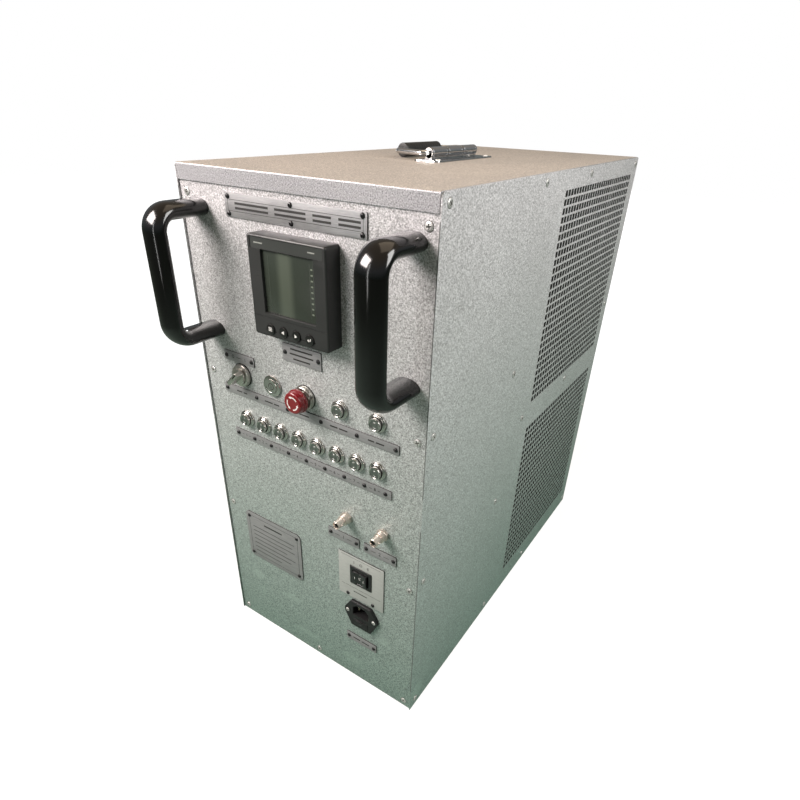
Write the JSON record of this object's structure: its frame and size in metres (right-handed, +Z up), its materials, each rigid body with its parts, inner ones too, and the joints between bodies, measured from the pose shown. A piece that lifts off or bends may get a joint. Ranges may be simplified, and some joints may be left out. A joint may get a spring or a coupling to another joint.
{
  "type": "generator load bank",
  "caption": "Portable tower load bank: silver sheet case with a meter and push buttons on its front, black pull handles, perforated cooling sides and a lift bail on the lid.",
  "frame": {"origin": "middle of the case's flat base", "axes": "+Z up, the control front faces -Y, +X to the right seen from the front"},
  "size_m": [0.31, 0.6598, 0.6361],
  "materials": {
    "case_paint": "fine silver texture powder coat",
    "zinc_sheet": "zinc-plated sheet",
    "element_steel": "heat-tinted stainless sheath",
    "fan_cast": "black-coated die casting",
    "fan_plastic": "matt",
    "gear_plastic": "matt",
    "terminal_board": "pressed laminate",
    "stud_brass": "turned",
    "screw_zinc": "bright zinc",
    "label_metal": "brushed",
    "screw_black": "black oxide",
    "meter_plastic": "fine grain",
    "meter_glass": "dark display glass",
    "button_steel": "polished nickel",
    "button_cap_steel": "spun satin",
    "selector_metal": "satin nickel",
    "stop_red": "gloss",
    "jack_nickel": "bright nickel",
    "switch_plastic": "satin",
    "rocker_plastic": "gloss",
    "inlet_plastic": "moulded",
    "pin_brass": "nickel-plated",
    "handle_black": "gloss black",
    "bail_chrome": "polished",
    "grip_plastic": "moulded vinyl",
    "key_plastic": "gloss"
  },
  "bodies": {
    "case": {"bail_bracket": "bail_chrome", "bail_rivets": "bail_chrome", "base_tray": "case_paint", "button_bodies": "button_steel", "case_screws": "screw_zinc", "contactors": "gear_plastic", "control_strip": "label_metal", "duct_shelf": "zinc_sheet", "duct_wall": "zinc_sheet", "element_plates": "zinc_sheet", "element_tubes": "element_steel", "fan_frame_lower": "fan_cast", "fan_frame_upper": "fan_cast", "fault_lamp": "button_steel", "frame_posts": "zinc_sheet", "front_handles": "handle_black", "front_panel": "case_paint", "gear_rails": "zinc_sheet", "inlet_body": "inlet_plastic", "inlet_pins": "pin_brass", "lid": "case_paint", "load_strip": "label_metal", "meter_case": "meter_plastic", "meter_window": "meter_glass", "nameplate": "label_metal", "plate_screws": "screw_black", "rear_panel": "case_paint", "rocker_bezel": "switch_plastic", "rocker_plate": "label_metal", "selector_body": "button_steel", "side_panel_left": "case_paint", "side_panel_right": "case_paint", "signal_jacks": "jack_nickel", "small_labels": "label_metal", "stop_body": "button_steel", "terminal_board": "terminal_board", "terminal_studs": "stud_brass", "warning_plate": "label_metal"},
    "bail": {"bail_wire": "bail_chrome", "bail_grip": "grip_plastic"},
    "fan_upper": {"fan_rotor_upper": "fan_plastic"},
    "fan_lower": {"fan_rotor_lower": "fan_plastic"},
    "selector": {"selector_knob": "selector_metal"},
    "emergency_stop": {"stop_head": "stop_red"},
    "rocker_lever": {"rocker": "rocker_plastic"},
    "fuse_carrier": {"fuse_drawer": "inlet_plastic"},
    "start": {"start_button": "button_cap_steel"},
    "confirm": {"confirm_button": "button_cap_steel"},
    "load_1": {"load_button_1": "button_cap_steel"},
    "load_2": {"load_button_2": "button_cap_steel"},
    "load_3": {"load_button_3": "button_cap_steel"},
    "load_4": {"load_button_4": "button_cap_steel"},
    "load_5": {"load_button_5": "button_cap_steel"},
    "load_6": {"load_button_6": "button_cap_steel"},
    "load_7": {"load_button_7": "button_cap_steel"},
    "load_8": {"load_button_8": "button_cap_steel"},
    "key_1": {"meter_key_1": "key_plastic"},
    "key_2": {"meter_key_2": "key_plastic"},
    "key_3": {"meter_key_3": "key_plastic"},
    "key_4": {"meter_key_4": "key_plastic"}
  },
  "joints": [
    {"name": "bail_hinge", "type": "hinge", "parent": "case", "child": "bail", "pos_m": [0, 0, 0.6283], "axis": [0, 1, 0], "range_deg": [0, 100]},
    {"name": "fan_upper_spin", "type": "hinge", "parent": "case", "child": "fan_upper", "pos_m": [-0.1, 0.1228, 0.4684], "axis": [1, 0, 0], "continuous": true},
    {"name": "fan_lower_spin", "type": "hinge", "parent": "case", "child": "fan_lower", "pos_m": [-0.1, 0.1228, 0.1672], "axis": [1, 0, 0], "continuous": true},
    {"name": "selector_turn", "type": "hinge", "parent": "case", "child": "selector", "pos_m": [-0.0922, -0.285, 0.4065], "axis": [0, -1, 0], "range_deg": [0, 90]},
    {"name": "stop_push", "type": "slide", "parent": "case", "child": "emergency_stop", "axis": [0, 1, 0], "range_m": [0, 0.004]},
    {"name": "rocker_tip", "type": "hinge", "parent": "case", "child": "rocker_lever", "pos_m": [0.0752, -0.281, 0.1875], "axis": [0, 0, 1], "range_deg": [-12, 12]},
    {"name": "fuse_drawer_slide", "type": "slide", "parent": "case", "child": "fuse_carrier", "axis": [0, -1, 0], "range_m": [0, 0.014]},
    {"name": "start_push", "type": "slide", "parent": "case", "child": "start", "axis": [0, 1, 0], "range_m": [0, 0.0025], "stiffness_N_per_m": 600, "springref_m": -0.0025},
    {"name": "confirm_push", "type": "slide", "parent": "case", "child": "confirm", "axis": [0, 1, 0], "range_m": [0, 0.0025], "stiffness_N_per_m": 600, "springref_m": -0.0025},
    {"name": "load_1_push", "type": "slide", "parent": "case", "child": "load_1", "axis": [0, 1, 0], "range_m": [0, 0.0025], "stiffness_N_per_m": 600, "springref_m": -0.0025},
    {"name": "load_2_push", "type": "slide", "parent": "case", "child": "load_2", "axis": [0, 1, 0], "range_m": [0, 0.0025], "stiffness_N_per_m": 600, "springref_m": -0.0025},
    {"name": "load_3_push", "type": "slide", "parent": "case", "child": "load_3", "axis": [0, 1, 0], "range_m": [0, 0.0025], "stiffness_N_per_m": 600, "springref_m": -0.0025},
    {"name": "load_4_push", "type": "slide", "parent": "case", "child": "load_4", "axis": [0, 1, 0], "range_m": [0, 0.0025], "stiffness_N_per_m": 600, "springref_m": -0.0025},
    {"name": "load_5_push", "type": "slide", "parent": "case", "child": "load_5", "axis": [0, 1, 0], "range_m": [0, 0.0025], "stiffness_N_per_m": 600, "springref_m": -0.0025},
    {"name": "load_6_push", "type": "slide", "parent": "case", "child": "load_6", "axis": [0, 1, 0], "range_m": [0, 0.0025], "stiffness_N_per_m": 600, "springref_m": -0.0025},
    {"name": "load_7_push", "type": "slide", "parent": "case", "child": "load_7", "axis": [0, 1, 0], "range_m": [0, 0.0025], "stiffness_N_per_m": 600, "springref_m": -0.0025},
    {"name": "load_8_push", "type": "slide", "parent": "case", "child": "load_8", "axis": [0, 1, 0], "range_m": [0, 0.0025], "stiffness_N_per_m": 600, "springref_m": -0.0025},
    {"name": "key_1_push", "type": "slide", "parent": "case", "child": "key_1", "axis": [0, 1, 0], "range_m": [0, 0.0008], "stiffness_N_per_m": 800, "springref_m": -0.0008},
    {"name": "key_2_push", "type": "slide", "parent": "case", "child": "key_2", "axis": [0, 1, 0], "range_m": [0, 0.0008], "stiffness_N_per_m": 800, "springref_m": -0.0008},
    {"name": "key_3_push", "type": "slide", "parent": "case", "child": "key_3", "axis": [0, 1, 0], "range_m": [0, 0.0008], "stiffness_N_per_m": 800, "springref_m": -0.0008},
    {"name": "key_4_push", "type": "slide", "parent": "case", "child": "key_4", "axis": [0, 1, 0], "range_m": [0, 0.0008], "stiffness_N_per_m": 800, "springref_m": -0.0008}
  ]
}
